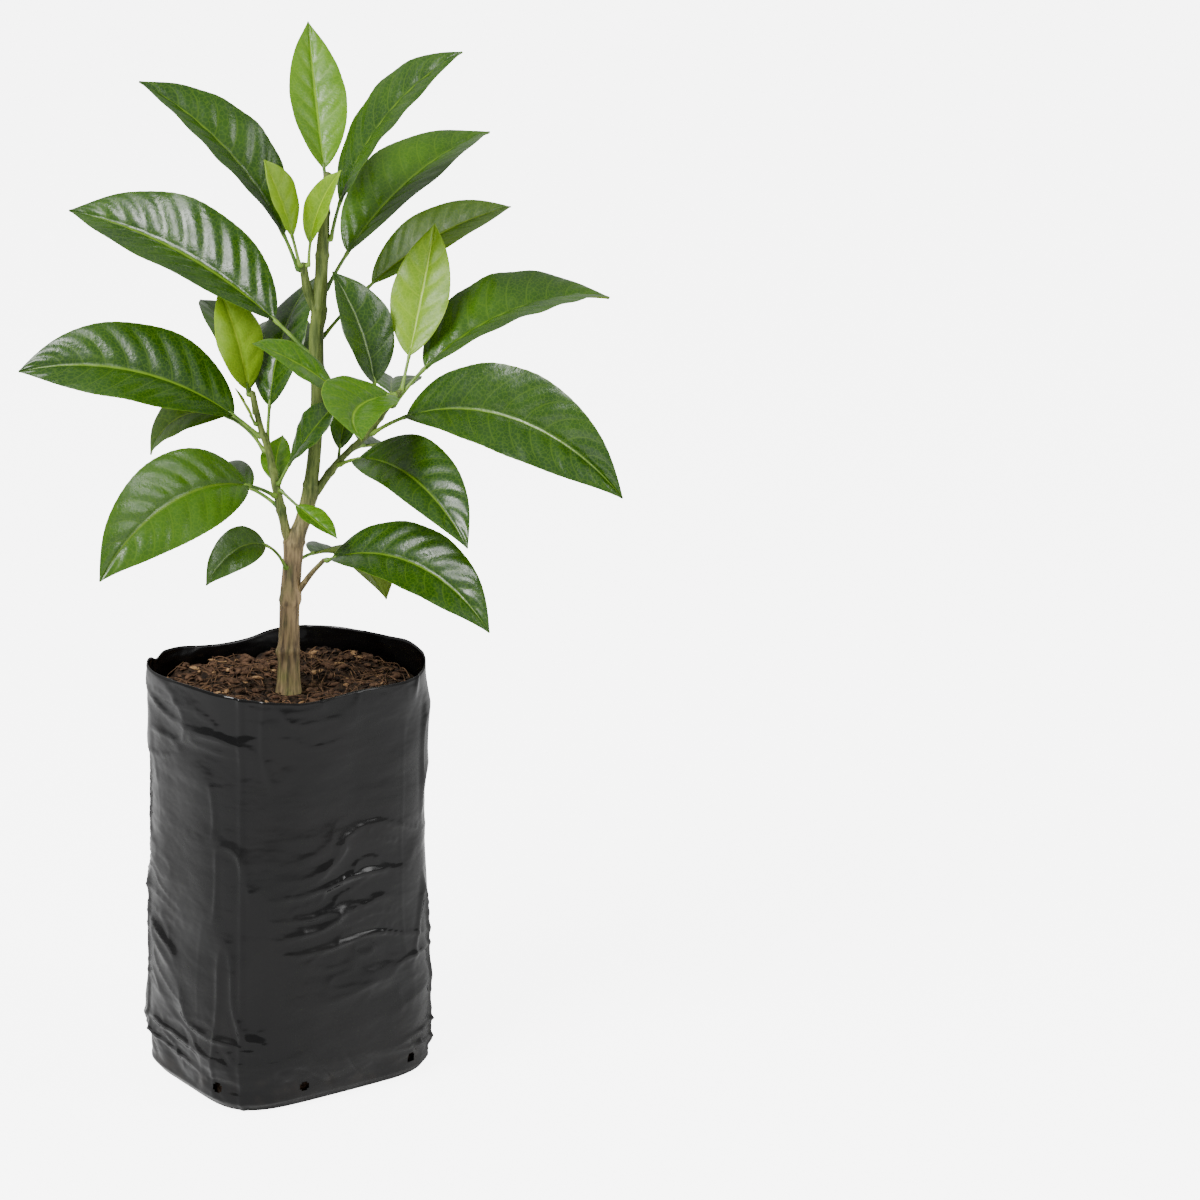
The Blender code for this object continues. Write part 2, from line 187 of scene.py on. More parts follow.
class Finish:
    """A material with helpers for the nodes that the finishes below share."""

    def __init__(self, name, **constants):
        self.material = bpy.data.materials.new(name)
        self.material.use_nodes = True
        self.tree = self.material.node_tree
        self.shader = self.tree.nodes["Principled BSDF"]
        for socket, value in constants.items():
            self.shader.inputs[socket.replace("_", " ")].default_value = value

    def node(self, kind, **settings):
        made = self.tree.nodes.new(kind)
        for key, value in settings.items():
            setattr(made, key, value)
        return made

    def join(self, source, target):
        self.tree.links.new(source, target)

    def math(self, operation, first, second=None, third=None, clamp=False):
        made = self.node("ShaderNodeMath", operation=operation, use_clamp=clamp)
        for socket, value in zip(made.inputs, (first, second, third)):
            if value is None:
                continue
            if isinstance(value, (int, float)):
                socket.default_value = value
            else:
                self.join(value, socket)
        return made.outputs[0]

    def place(self):
        return self.node("ShaderNodeTexCoord").outputs["Object"]

    def noise(self, scale, detail, stretch=(1, 1, 1), roughness=0.55):
        place = self.place()
        mapping = self.node("ShaderNodeMapping")
        mapping.inputs["Scale"].default_value = stretch
        self.join(place, mapping.inputs["Vector"])
        made = self.node("ShaderNodeTexNoise")
        made.inputs["Scale"].default_value = scale
        made.inputs["Detail"].default_value = detail
        made.inputs["Roughness"].default_value = roughness
        self.join(mapping.outputs[0], made.inputs["Vector"])
        return made.outputs["Fac"]

    def cells(self, scale):
        made = self.node("ShaderNodeTexVoronoi", feature="DISTANCE_TO_EDGE")
        made.inputs["Scale"].default_value = scale
        self.join(self.place(), made.inputs["Vector"])
        return made.outputs["Distance"]

    def height(self):
        """How high a point lies above the floor."""
        split = self.node("ShaderNodeSeparateXYZ")
        self.join(self.place(), split.inputs[0])
        return split.outputs["Z"]

    def ramp(self, value, low, high, from_value=0.0, to_value=1.0):
        """Spreads a value between two limits onto a new range, with a soft start and end."""
        made = self.node("ShaderNodeMapRange", interpolation_type="SMOOTHSTEP")
        limits = {"From Min": low, "From Max": high, "To Min": from_value, "To Max": to_value}
        for socket, number in limits.items():
            made.inputs[socket].default_value = number
        self.join(value, made.inputs["Value"])
        return made.outputs["Result"]

    def mix(self, share, first, second):
        """Colour between first and second, each a colour or a socket."""
        made = self.node("ShaderNodeMix", data_type="RGBA")
        self.join(share, made.inputs["Factor"])
        for socket, value in ((made.inputs[6], first), (made.inputs[7], second)):
            if isinstance(value, tuple):
                socket.default_value = (*value, 1)
            else:
                self.join(value, socket)
        return made.outputs[2]

    def colour(self, source):
        self.join(source, self.shader.inputs["Base Color"])

    def roughness(self, source):
        self.join(source, self.shader.inputs["Roughness"])

    def relief(self, height, distance, strength):
        made = self.node("ShaderNodeBump")
        made.inputs["Strength"].default_value = strength
        made.inputs["Distance"].default_value = distance
        self.join(height, made.inputs["Height"])
        self.join(made.outputs[0], self.shader.inputs["Normal"])


print("a finish has", [name for name in vars(Finish) if not name.startswith("_")])

# %% [markdown]
# ## The nursery bag
#
# The real bag is thin black polythene, filled and stood up, so its plan is a rectangle with soft corners and
# its wall is full of short creases. A cloth simulation would crumple it in ways that are hard to steer. A
# sheet wrapped round the plan, with creases pressed in by noise, keeps the outline and puts the wrinkles
# where such film has them: short level crescents on the faces, long folds at the corners.

# %% The bag's plan
BAG_TURN = math.radians(32)
BagLevel = namedtuple("BagLevel", "height half_long half_short squareness")
BAG_LEVELS = (
    BagLevel(0 * MM, 51 * MM, 41.5 * MM, 4.6),
    BagLevel(4 * MM, 54.5 * MM, 45 * MM, 4.2),
    BagLevel(18 * MM, 57 * MM, 48 * MM, 3.5),
    BagLevel(60 * MM, 57.5 * MM, 48.5 * MM, 3.2),
    BagLevel(115 * MM, 57 * MM, 48.5 * MM, 3.0),
    BagLevel(155 * MM, 57 * MM, 49.5 * MM, 2.9),
    BagLevel(180 * MM, 58 * MM, 51.5 * MM, 2.7),
)
RIM_HEIGHT = BAG_LEVELS[-1].height


def plan_radius(angle, height):
    """Distance from the axis to the bag's outer face, at angles and heights."""
    heights = [level.height for level in BAG_LEVELS]
    a, b, n = (
        np.interp(height, heights, [getattr(level, key) for level in BAG_LEVELS])
        for key in ("half_long", "half_short", "squareness")
    )
    across, along = np.cos(angle - BAG_TURN), np.sin(angle - BAG_TURN)
    return (np.abs(across / a) ** n + np.abs(along / b) ** n) ** (-1 / n)


print("bag radius at the front", round(float(plan_radius(np.array(-math.pi / 2), 0.1)), 4))

# %% Creases in the film
CORNERS = [math.radians(degrees) for degrees in (-110, -6, 72, 175)]
CORNER_SPREAD = 0.24
GUSSET_CORNER = CORNERS[0]
GUSSET_SPREAD = 0.018
BULGE, CRESCENT, FINE_CREASE, FOLD, TUCK, GUSSET = 1.3, 1.6, 0.6, 1.5, 1.2, 0.9
SETTLE = 1.3
LOW_BAND = 34


def turn_between(angle, other):
    """The turn from one heading to another, from minus half a turn to half a turn."""
    return (angle - other + math.pi) % (2 * math.pi) - math.pi


def wrinkles(around, height, count, tall, seed, slant=0.0, shift=0.0):
    """Noise with count waves around and one for each tall millimetres of height."""
    return lattice_noise(around * count + slant, height / tall + shift, count, seed)


def film_relief(angle, height):
    """How far the film stands in or out, in metres, from weights in millimetres."""
    around = angle / (2 * math.pi)
    z = height / MM
    sway = wrinkles(around, z, 7, 45, 1)
    bulge = 1.1 * sway + 0.7 * wrinkles(around, z, 12, 26, 2)
    warped = z + 8 * wrinkles(around, z, 8, 24, 3)
    slack = np.clip(1.5 * wrinkles(around, z, 6, 28, 10) + 0.25, 0, 1)
    crescents = creases(wrinkles(around, warped, 9, 10, 4), 4) * slack
    fine = creases(wrinkles(around, warped, 19, 5.5, 5, slant=z / 40), 6) * slack
    near_corner = sum(bump_at(turn_between(angle, corner), CORNER_SPREAD) for corner in CORNERS)
    folds = ridges(wrinkles(around, z, 34, 44, 7, shift=0.8 * sway)) * near_corner
    low = np.clip(1 - z / LOW_BAND, 0, 1)
    tucks = ridges(wrinkles(around, z, 30, 13, 8, slant=z / 11)) * low
    calm = np.clip((z - 2) / 10, 0.15, 1)
    gusset = GUSSET * bump_at(turn_between(angle, GUSSET_CORNER), GUSSET_SPREAD)
    relief = BULGE * bulge + CRESCENT * crescents + FINE_CREASE * fine - SETTLE + FOLD * folds - TUCK * tucks
    return (relief * calm + gusset) * MM


middle_ring = film_relief(np.linspace(0, 2 * math.pi, 90)[None, :], np.full((1, 90), RIM_HEIGHT / 2)) / MM
print("film in and out at mid height, mm", middle_ring.min().round(2), middle_ring.max().round(2))

# %% The cut rim
RIM_TUCK = math.radians(168)
RIM_TUCK_SPREAD = 0.07
RIM_WAVE, RIM_RIPPLE, RIM_FRILL, RIM_TUCK_DEPTH = 1.5, 0.9, 0.7, 2.2


def rim_lift(angle):
    """The cut edge of the bag rises and dips, and tucks down beside one corner."""
    around = angle / (2 * math.pi)
    wave = RIM_WAVE * np.sin(2 * angle + 0.6) + RIM_RIPPLE * np.sin(5 * angle)
    frill = RIM_FRILL * lattice_noise(around * 26, 0.5 + 0 * angle, 26, 9)
    return (wave + frill - RIM_TUCK_DEPTH * bump_at(turn_between(angle, RIM_TUCK), RIM_TUCK_SPREAD)) * MM


print("rim in its tuck, mm", (rim_lift(RIM_TUCK) / MM).round(2))

# %% Drain holes
HOLE_RADIUS = 2.2 * MM
HOLE_HEIGHT = 9 * MM
HOLE_DEPTH = 10 * MM
LONG_FACE_HOLES = (-21 * MM, 34 * MM)
SHORT_FACE_HOLES = (26 * MM,)
HOLE_LEVEL = BAG_LEVELS[1]


def hole_centres():
    """Punched holes low on the long and short faces, the same on the hidden sides."""
    centres = []
    long_face = (-math.pi / 2, LONG_FACE_HOLES, HOLE_LEVEL.half_short)
    short_face = (0, SHORT_FACE_HOLES, HOLE_LEVEL.half_long)
    for facing, offsets, reach in (long_face, short_face):
        for turn in (0, math.pi):
            out = Vector((math.cos(BAG_TURN + facing + turn), math.sin(BAG_TURN + facing + turn), 0))
            sideways = Vector((-out.y, out.x, 0))
            for offset in offsets:
                centres.append((out, sideways, out * reach + sideways * offset + Vector((0, 0, HOLE_HEIGHT))))
    return centres


def in_a_hole(points):
    """Which points lie in a drain hole, near its wall."""
    inside = np.zeros(len(points), bool)
    for out, sideways, centre in hole_centres():
        offset = points - np.array(centre)
        level = offset @ np.array(sideways)
        near_axis = level**2 + offset[:, 2] ** 2 < HOLE_RADIUS**2
        inside |= near_axis & (offset @ np.array(out) > -HOLE_DEPTH)
    return inside


print("drain holes", len(hole_centres()))

# %% The shape of the film
FILM_THICKNESS = 0.5 * MM
FILM_INSET = 0.4 * MM
AROUND = 384
FLOOR_ROWS, WALL_ROWS, INNER_ROWS = 10, 170, 26
FLOOR_MIDDLE = 0.02
FLOOR_LIFT = 0.05 * MM
INNER_DEPTH = 28 * MM
ROWS_LOW_DOWN = 1.15
RIM_HOLD = 12


def film_reach(angle, heights):
    """Distance from the axis to the film's outer face."""
    return plan_radius(angle, heights) + film_relief(angle, heights + 0 * angle) - FILM_INSET


def ring_rows(angle, reach, heights):
    """Rows of points around the axis, each at its own reach and height."""
    return np.stack([reach * np.cos(angle), reach * np.sin(angle), heights + 0 * reach], 2)


def film_points():
    """One sheet from the middle of the underside, up the wall and down inside the rim."""
    angle = np.linspace(0, 2 * math.pi, AROUND, endpoint=False)[None, :]
    share = np.linspace(FLOOR_MIDDLE, 1, FLOOR_ROWS, endpoint=False)[:, None]
    rows = [ring_rows(angle, plan_radius(angle, 0.0) * share, FLOOR_LIFT)]
    wall = RIM_HEIGHT * np.linspace(0, 1, WALL_ROWS)[:, None] ** ROWS_LOW_DOWN
    inner = RIM_HEIGHT - np.linspace(0, INNER_DEPTH, INNER_ROWS)[:, None]
    for heights, inset in ((wall, 0), (inner, FILM_THICKNESS)):
        lift = rim_lift(angle) * (heights / RIM_HEIGHT) ** RIM_HOLD
        rows.append(ring_rows(angle, film_reach(angle, heights) - inset, heights + lift))
    return np.concatenate(rows)


film_grid = film_points()
print("film grid", film_grid.shape, "top of the rim", film_grid[..., 2].max().round(4))

# %% [markdown]
# ## The finish of the film
#
# Black polythene is nearly black all through, so what shows is its shine: soft broad light that breaks at
# each dent, with earth dusted on low down. A photograph of crumpled film as an image texture would show its
# own light from every side. Four noises are enough, one each for tone, dust, shine and shallow dents.

# %% Black film
BLUE_BLACK = (0.0008, 0.0008, 0.001)
BROWN_BLACK = (0.0034, 0.003, 0.003)
DRY_EARTH = (0.06, 0.045, 0.033)
DUST_HEIGHT = 0.05


def black_film():
    film = Finish("black_film", Metallic=0.0, Specular_IOR_Level=0.3)
    patches = film.noise(28, 5)
    dust = film.math("MULTIPLY", film.noise(90, 6), film.ramp(film.height(), 0.0, DUST_HEIGHT, 1.0, 0.0))
    base = film.mix(film.ramp(patches, 0.35, 0.7), BLUE_BLACK, BROWN_BLACK)
    film.colour(film.mix(film.ramp(dust, 0.42, 0.9, 0, 0.4), base, DRY_EARTH))
    film.roughness(film.ramp(film.noise(24, 3, (1, 1, 0.7)), 0.35, 0.65, 0.13, 0.34))
    film.relief(film.noise(30, 3, (1, 1, 2.2), roughness=0.4), 0.0034, 0.75)
    return film.material


film_sheet = Sheet(film_grid, True, False, 0, PLAIN_TONE)
bag = mesh_from_sheets("bag_film", [film_sheet], [black_film()], keep=lambda middles: ~in_a_hole(middles))
dress(bag, "film", "nursery_bag")

# %% [markdown]
# ## The potting mix
#
# The mix is bark and coir: dark crumbs, flat chips of paler bark and thin fibres. A sheet gives the ground,
# with waves and noise in its top and a side behind the film. A displace modifier could do the same, but the
# small pieces have to know the height of the mix at any place, and a formula gives it.

# %% The ground of the mix
MIX_LEVEL = 166.7 * MM
MIX_GAP = 0.9 * MM
SIDE_GAP = 3 * MM
MIX_FLAT_RADIUS = 9 * MM
MIX_SLOPE_WIDTH = 14 * MM
MIX_SPAN = 90 * MM
MIX_BUMP, MIX_MOUND = 1.8, 3.0
MIX_RING, MIX_TOP_ROWS, MIX_SIDE_ROWS = 220, 70, 40
MIX_SIDE_TOP, MIX_SIDE_FOOT = MIX_LEVEL - 4 * MM, 2 * MM
CRUMB_SIZE, GRAIN_SIZE = 3 * MM, 1.3 * MM
CRUMB_RELIEF, CRUMB_SINK = 0.9, 0.6
NOISE_MIDDLE = 90
EDGE_HEIGHTS = MIX_LEVEL + np.linspace(-5, 6, 12)[:, None] * MM


def mix_top(x, y):
    """Height of the potting mix, flat at the trunk and heaped a little at the back."""
    away = ease((np.hypot(x, y) - MIX_FLAT_RADIUS) / MIX_SLOPE_WIDTH)
    waves = np.sin(210 * x + 1.1) * np.cos(170 * y) + 0.6 * np.sin(330 * y + 260 * x)
    mound = ease(0.5 + (y - 0.4 * x) / MIX_SPAN)
    return MIX_LEVEL + away * (MIX_BUMP * waves + MIX_MOUND * mound) * MM


def mix_edge(angle):
    """How far the mix may reach: the least distance to the film at the heights that it spans."""
    return film_reach(np.atleast_2d(angle), EDGE_HEIGHTS).min(0) - FILM_THICKNESS


def mix_points():
    """The top of the mix from its middle outwards, and then its side."""
    angle = np.linspace(0, 2 * math.pi, MIX_RING, endpoint=False)[None, :]
    top_share = np.linspace(0.01, 1, MIX_TOP_ROWS)[:, None]
    reach = (mix_edge(angle) - MIX_GAP) * top_share
    x, y = reach * np.cos(angle), reach * np.sin(angle)
    crumbs = lattice_noise(x / CRUMB_SIZE + NOISE_MIDDLE, y / CRUMB_SIZE + NOISE_MIDDLE, 200, 21)
    grains = lattice_noise(x / GRAIN_SIZE + NOISE_MIDDLE, y / GRAIN_SIZE + NOISE_MIDDLE, 400, 22)
    crumbs = crumbs + 0.6 * grains
    top = np.stack([x, y, mix_top(x, y) + (CRUMB_RELIEF * crumbs - CRUMB_SINK) * MM], 2)
    heights = np.linspace(MIX_SIDE_TOP, MIX_SIDE_FOOT, MIX_SIDE_ROWS)[:, None]
    return np.concatenate([top, ring_rows(angle, film_reach(angle, heights) - SIDE_GAP, heights)])


def earth(name, dark, light):
    """A dull crumbly finish between two colours."""
    finish = Finish(name, Metallic=0.0, Roughness=0.9, Specular_IOR_Level=0.25)
    grains = finish.noise(420, 6)
    finish.colour(finish.mix(finish.ramp(grains, 0.35, 0.68), dark, light))
    finish.relief(finish.noise(700, 5), 0.0008, 0.8)
    return finish.material


mix_ground = earth("damp_coir", (0.012, 0.007, 0.004), (0.06, 0.033, 0.019))
mix_bed = mesh_from_sheets("mix_bed", [Sheet(mix_points(), True, True, 0, PLAIN_TONE)], [mix_ground])
dress(mix_bed, "mix", "potting_mix")

# %% [markdown]
# ## Chips, crumbs and fibres
#
# Sieved bark is short uneven flakes, and coir is thin curling threads. They could be scattered by
# Geometry Nodes, but plain arrays joined into one mesh for each kind export as they are, and a seeded
# generator repeats them exactly. They start clear of the trunk and stay inside the film.

# %% Places on the mix
scatter = np.random.default_rng(2024)
TRUNK_CLEAR = 5.5 * MM
FILM_CLEAR = 3.5 * MM


def scattered_places(count):
    """Places all over the mix, clear of the trunk and the film."""
    angle = scatter.uniform(0, 2 * math.pi, count)
    edge = mix_edge(angle) - FILM_CLEAR
    reach = TRUNK_CLEAR + (edge - TRUNK_CLEAR) * np.sqrt(scatter.uniform(0, 1, count))
    x, y = reach * np.cos(angle), reach * np.sin(angle)
    return np.stack([x, y, mix_top(x, y)], 1)


print("nearest film at the mix", mix_edge(np.linspace(0, 2 * math.pi, 90)).min().round(4))

# %% Flakes of bark
CHIP_RING = 7
CHIP_SWELL = (0.05, 0.8, 1, 0.75, 0.05)
CHIP_SINK = 0.35


def turned(points, yaw, pitch):
    """Turns points about X by pitch and then about Z by yaw."""
    x, y, z = points[..., 0], points[..., 1], points[..., 2]
    y, z = y * math.cos(pitch) - z * math.sin(pitch), y * math.sin(pitch) + z * math.cos(pitch)
    return np.stack([x * math.cos(yaw) - y * math.sin(yaw), x * math.sin(yaw) + y * math.cos(yaw), z], -1)


def chip_sheet(place, length, width, height):
    """A flake of bark: a short tube of uneven rings, tipped at random."""
    ring = np.linspace(0, 2 * math.pi, CHIP_RING, endpoint=False)
    rows = []
    for step, swell in zip(np.linspace(-0.5, 0.5, len(CHIP_SWELL)), CHIP_SWELL):
        rough = scatter.uniform(0.75, 1.2, CHIP_RING) * swell
        sideways = np.cos(ring) * width / 2 * rough
        upward = np.sin(ring) * height / 2 * rough
        rows.append(np.stack([0 * ring + step * length, sideways, upward], 1))
    points = turned(np.array(rows), scatter.uniform(0, 2 * math.pi), scatter.uniform(-0.7, 0.7))
    tipped = points[..., 2] + points[..., 0] * scatter.uniform(-0.35, 0.35)
    points = np.stack([points[..., 0], points[..., 1], tipped], -1)
    return Sheet(points + place + np.array((0, 0, height * CHIP_SINK)), True, False, 0, scatter.uniform())


print("corners in one flake", CHIP_RING * len(CHIP_SWELL))

# %% Tubes and fibres
TUBE_END = 0.2
TUBE_SIDE_HINT = np.array((0.31, 0.94, 0.13))
TINY = 1e-12
FIBRE_ROWS, FIBRE_SIDES = 9, 5
FIBRE_CURL, FIBRE_LOOP, FIBRE_REST = 1.1, 2.0, 0.3
FIBRE_CLEAR = 1.5 * MM


def tube_sheet(path, sides, tone):
    """A round limb along rows of x, y, z and radius, drawn in at both ends."""
    centres, radii = path[:, :3], path[:, 3].copy()
    radii[0], radii[-1] = radii[0] * TUBE_END, radii[-1] * TUBE_END
    ahead = np.gradient(centres, axis=0)
    ahead /= np.linalg.norm(ahead, axis=1, keepdims=True) + TINY
    aside = np.cross(ahead, TUBE_SIDE_HINT)
    aside /= np.linalg.norm(aside, axis=1, keepdims=True) + TINY
    above = np.cross(ahead, aside)
    turn = np.linspace(0, 2 * math.pi, sides, endpoint=False)[None, :, None]
    ring = aside[:, None] * np.cos(turn) + above[:, None] * np.sin(turn)
    return Sheet(centres[:, None] + ring * radii[:, None, None], True, False, 0, tone)


def fibre_sheet(place, length, radius):
    """A coir fibre: a thin tube that curls over the mix and stays inside the film."""
    steps = np.linspace(0, 1, FIBRE_ROWS)
    heading = scatter.uniform(0, 2 * math.pi) + scatter.normal(0, FIBRE_CURL) * steps
    x = place[0] + np.cumsum(np.cos(heading)) * length / FIBRE_ROWS
    y = place[1] + np.cumsum(np.sin(heading)) * length / FIBRE_ROWS
    inside = np.hypot(x, y) < mix_edge(np.arctan2(y, x)) - FIBRE_CLEAR
    x, y = np.where(inside, x, place[0]), np.where(inside, y, place[1])
    z = mix_top(x, y) + (FIBRE_REST + FIBRE_LOOP * np.sin(math.pi * steps) * scatter.uniform(0, 1)) * MM
    path = np.stack([x, y, z, np.full(FIBRE_ROWS, radius)], 1)
    return tube_sheet(path, FIBRE_SIDES, scatter.uniform())


print("rows in one fibre", FIBRE_ROWS)

# %% Scatter the pieces
FIBRE_COUNT, FIBRE_LENGTHS, FIBRE_RADII = 420, (7, 20), (0.12, 0.3)
ScatterKind = namedtuple("ScatterKind", "name count length width dark light")
CHIP_KINDS = (
    ScatterKind("dark_crumbs", 1500, (1.2, 3.2), 0.8, (0.012, 0.007, 0.005), (0.05, 0.03, 0.02)),
    ScatterKind("brown_chips", 520, (2.5, 7.0), 0.45, (0.045, 0.022, 0.012), (0.13, 0.07, 0.04)),
    ScatterKind("tan_chips", 85, (2.2, 6.0), 0.5, (0.24, 0.13, 0.06), (0.45, 0.28, 0.14)),
)
for kind in CHIP_KINDS:
    chips = []
    for place in scattered_places(kind.count):
        length = scatter.uniform(*kind.length) * MM
        chips.append(chip_sheet(place, length, length * kind.width, length * scatter.uniform(0.15, 0.4)))
    dress(mesh_from_sheets(kind.name, chips, [earth(kind.name, kind.dark, kind.light)]), "mix")
fibres = []
for place in scattered_places(FIBRE_COUNT):
    length = scatter.uniform(*FIBRE_LENGTHS) * MM
    fibres.append(fibre_sheet(place, length, scatter.uniform(*FIBRE_RADII) * MM))
fibre_finish = earth("coir_fibre", (0.05, 0.026, 0.013), (0.2, 0.11, 0.06))
dress(mesh_from_sheets("coir_fibres", fibres, [fibre_finish]), "mix")

# %% [markdown]
# ## Trunk and boughs
#
# A young citrus trunk is smooth: tan and finely striped below, green above, with a swollen ring where each
# leaf once stood. A curve with a bevel would be perfectly round, so each stem is a wrapped sheet. Its radius
# carries the stripes, the rings and the knots where boughs leave. The stations repeat the frame's own: x, y,
# height and radius, in millimetres.

# %% Stem paths
STEM_STATIONS = {
    "trunk": (
        (-0.4, 0, 167, 5.6),
        (-0.4, 0, 176, 4.8),
        (-0.2, 0, 206, 4.2),
        (2.0, 0, 231, 3.9),
        (6.2, 0.5, 244, 3.4),
        (9.3, 1, 262, 3.0),
        (11.3, 2, 290, 2.7),
        (10.8, 2, 318, 2.9),
        (12.6, 2, 342, 2.8),
        (14.0, 3, 368, 2.2),
        (15.2, 5, 386, 1.5),
    ),
    "left_bough": (
        (0.5, 0, 230, 2.2),
        (-3.0, 0, 243, 1.9),
        (-6.2, 2, 258, 1.8),
        (-8.9, 4.5, 270, 1.6),
        (-12.6, 7, 281, 1.4),
        (-15.7, 11, 294, 1.1),
    ),
    "right_bough": (
        (10.0, 1.5, 252, 2.3),
        (19.8, -1, 266.4, 2.0),
        (31.2, -5, 278.8, 1.9),
        (38.9, -8, 290, 1.6),
        (44.9, -10, 298.8, 1.3),
    ),
    "top_shoot": (
        (11.2, 2, 328, 2.3),
        (6.9, 0.5, 339, 2.0),
        (5.3, -2, 350, 1.6),
    ),
    "low_twig": (
        (2.5, 0, 209.5, 1.6),
        (8.3, -4, 219, 1.4),
        (14.9, -8, 227.2, 1.2),
    ),
}


def smooth_path(stations, steps):
    """Rows of x, y, z, radius in metres on a smooth curve through the stations."""
    rows = np.array(stations, float) * MM
    rows = np.vstack([2 * rows[0] - rows[1], rows, 2 * rows[-1] - rows[-2]])
    path = []
    for i in range(1, len(rows) - 2):
        before, here, there, after = rows[i - 1 : i + 3]
        for t in np.arange(steps) / steps:
            path.append(
                here
                + 0.5 * t * (there - before)
                + t * t * (before - 2.5 * here + 2 * there - 0.5 * after)
                + 0.5 * t**3 * (3 * here - before - 3 * there + after)
            )
    path.append(rows[-2])
    return np.array(path)


FRAME_STEPS, FINE_STEPS = 3, 26
PATHS = {name: smooth_path(stations, FRAME_STEPS) for name, stations in STEM_STATIONS.items()}
PATHS["trunk"][1, :2] = PATHS["trunk"][0, :2]
FINE_PATHS = {name: smooth_path(stations, FINE_STEPS) for name, stations in STEM_STATIONS.items()}
print("trunk tip", PATHS["trunk"][-1].round(4))

# %% Bark relief
Knot = namedtuple("Knot", "height turn size spread")
RINGS = {
    "trunk": (185, 207, 232, 256, 284, 306, 330, 352, 370),
    "left_bough": (246, 262, 276),
    "right_bough": (262, 274, 286),
}
KNOTS = {
    "trunk": (
        Knot(232, 170, 0.9, 4),
        Knot(253, 20, 1.0, 4),
        Knot(327, 10, 0.9, 4),
        Knot(185, 195, 0.8, 2.5),
        Knot(209, 0, 0.6, 3),
    ),
    "left_bough": (Knot(236, 180, 0.4, 3), Knot(256, 230, 0.5, 3)),
    "right_bough": (Knot(266, 80, 0.5, 3), Knot(280, 320, 0.6, 3)),
}
STRIPE, FINE_STRIPE, LUMP = 0.10, 0.05, 0.16
RING_SWELL, RING_WIDTH, RING_TILT = 0.42, 1.1, 0.8
KNOT_TURN = 0.9
STEM_END = 0.3


def bark_points(name, sides):
    """A stem's skin: its round path with stripes, lumps, rings and knots."""
    path = FINE_PATHS[name]
    turn = np.linspace(0, 2 * math.pi, sides, endpoint=False)[None, :]
    height = path[:, 2:3] / MM
    around = turn / (2 * math.pi)
    stripes = STRIPE * wrinkles(around, height, 22, 14, 31)
    stripes = stripes + FINE_STRIPE * wrinkles(around, height, 44, 5, 32)
    relief = stripes + LUMP * wrinkles(around, height, 4, 7, 33)
    for ring in RINGS.get(name, ()):
        tilt = RING_TILT * np.sin(turn + ring)
        relief = relief + RING_SWELL * bump_at(height - ring - tilt, RING_WIDTH)
    for knot in KNOTS.get(name, ()):
        angular = turn_between(turn, math.radians(knot.turn))
        relief = relief + knot.size * bump_at(height - knot.height, knot.spread) * bump_at(angular, KNOT_TURN)
    radius = path[:, 3:4] + relief * MM
    radius[-1] *= STEM_END
    x = path[:, 0:1] + radius * np.cos(turn)
    y = path[:, 1:2] + radius * np.sin(turn)
    return np.stack([x, y, path[:, 2:3] + 0 * x], 2)


print("knots on the trunk", len(KNOTS["trunk"]))

# %% [markdown]
# ## The finish of the bark
#
# Young bark is green, and turns tan and finely striped from the foot up, with green breaking through where it
# has stretched. Painting it by hand would need an image. Here one noise drawn out along the stem makes the
# stripes, another makes the green patches, and the height above the floor says how far the tan has come.

# %% Bark finish


def bark(name, tan_until, green_from, woody):
    """Tan bark that turns green between two heights, with green breaking through in patches."""
    finish = Finish(name, Metallic=0.0, Roughness=0.62, Specular_IOR_Level=0.35)
    stripes = finish.noise(620, 5, (1, 1, 0.12))
    patches = finish.noise(55, 3, (1, 1, 0.5))
    tan = finish.mix(finish.ramp(stripes, 0.32, 0.68), (0.10, 0.07, 0.04), (0.40, 0.28, 0.14))
    green = finish.mix(finish.ramp(stripes, 0.3, 0.7), (0.045, 0.075, 0.012), (0.16, 0.21, 0.045))
    rise = finish.ramp(finish.height(), tan_until, green_from, 0.0, 1.0)
    share = finish.math("ADD", rise, finish.ramp(patches, 0.5, 0.64, 0.0, woody))
    finish.colour(finish.mix(finish.math("MINIMUM", share, 1.0), tan, green))
    finish.relief(finish.noise(520, 5, (1, 1, 0.3)), 0.0004, 0.8)
    return finish.material


trunk_bark = bark("trunk_bark", 0.222, 0.262, 0.6)
bough_bark = bark("bough_bark", 0.2, 0.255, 0.8)
STEM_SIDES = {"trunk": 96, "left_bough": 56, "right_bough": 56, "top_shoot": 48, "low_twig": 40}
for name, sides in STEM_SIDES.items():
    finish = trunk_bark if name == "trunk" else bough_bark
    skin_sheet = Sheet(bark_points(name, sides), True, False, 0, PLAIN_TONE)
    limb = mesh_from_sheets(name + "_bark", [skin_sheet], [finish])
    dress(limb, "bark" if name == "trunk" else "green_bark", name)
